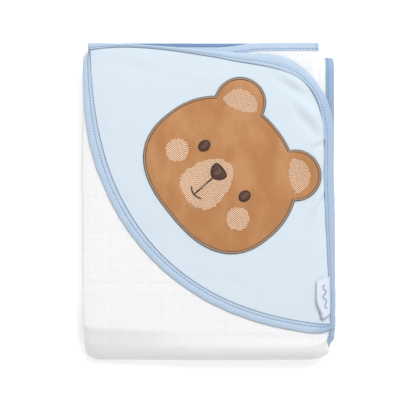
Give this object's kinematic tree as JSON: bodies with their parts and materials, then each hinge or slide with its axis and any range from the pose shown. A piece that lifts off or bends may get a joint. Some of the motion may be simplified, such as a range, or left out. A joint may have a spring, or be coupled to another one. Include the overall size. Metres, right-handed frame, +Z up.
{
  "type": "hooded baby towel",
  "caption": "Folded square towel in soft cotton with a bound edge and a corner hood that carries an appliqued animal face.",
  "frame": {"origin": "middle of the underside of the folded bundle, where it rests on the table", "axes": "+X across the bundle towards its bound right edge, +Y from the bottom fold towards the hood's top edge, +Z up"},
  "size_m": [0.25, 0.316, 0.0386],
  "materials": {
    "towelling": "matte double gauze",
    "binding": "soft cotton bias tape",
    "hood_cotton": "fine knitted cotton",
    "thread": "sewing thread",
    "backing": "non-woven stabiliser",
    "velour": "short brushed pile",
    "satin_border": "satin stitch",
    "fill_stitch": "fill stitch",
    "dark_stitch": "satin stitch",
    "label_ribbon": "woven satin ribbon",
    "label_print": "woven mark"
  },
  "bodies": {
    "lower_fold": {"towel_back_section": "towelling", "towel_tucked_section": "towelling", "towel_top_turn": "towelling", "towel_bottom_turn": "towelling", "binding_right_lower": "binding", "binding_right_turn": "binding", "binding_left_lower": "binding", "binding_left_turn": "binding", "binding_foot_edge": "binding"},
    "front_fold": {"towel_front_section": "towelling", "binding_hood_edge": "binding", "binding_top_edge": "binding", "binding_left_upper": "binding", "hood_panel": "hood_cotton", "opening_binding_upper": "binding", "opening_binding_lower": "binding", "thread_hood_edge": "thread", "thread_opening_upper": "thread", "thread_opening_lower": "thread", "embroidery_backing": "backing", "bear_velour": "velour", "bear_border": "satin_border", "ear_patch_left": "fill_stitch", "ear_patch_right": "fill_stitch", "cheek_left": "fill_stitch", "cheek_right": "fill_stitch", "eye_left": "dark_stitch", "eye_right": "dark_stitch", "muzzle_patch": "fill_stitch", "nose": "dark_stitch", "mouth": "dark_stitch"},
    "hood_lip": {"hood_panel_lip": "hood_cotton", "opening_binding_lip": "binding", "thread_opening_lip": "thread"},
    "label": {"side_label": "label_ribbon", "label_motif": "label_print"}
  },
  "joints": [
    {"name": "fold_open", "type": "hinge", "parent": "lower_fold", "child": "front_fold", "pos_m": [0, -0.158, 0.0174], "axis": [1, 0, 0], "range_deg": [0, 170], "deforming": ["towel_bottom_turn", "binding_right_turn", "binding_left_turn"]},
    {"name": "lip_lift", "type": "hinge", "parent": "front_fold", "child": "hood_lip", "pos_m": [-0.03396, -0.02952, 0.0376], "axis": [-0.6561, 0.7547, 0], "range_deg": [0, 140]},
    {"name": "label_flip", "type": "hinge", "parent": "front_fold", "child": "label", "pos_m": [0.1215, -0.096, 0.0385], "axis": [0, 1, 0], "range_deg": [0, 160]}
  ]
}
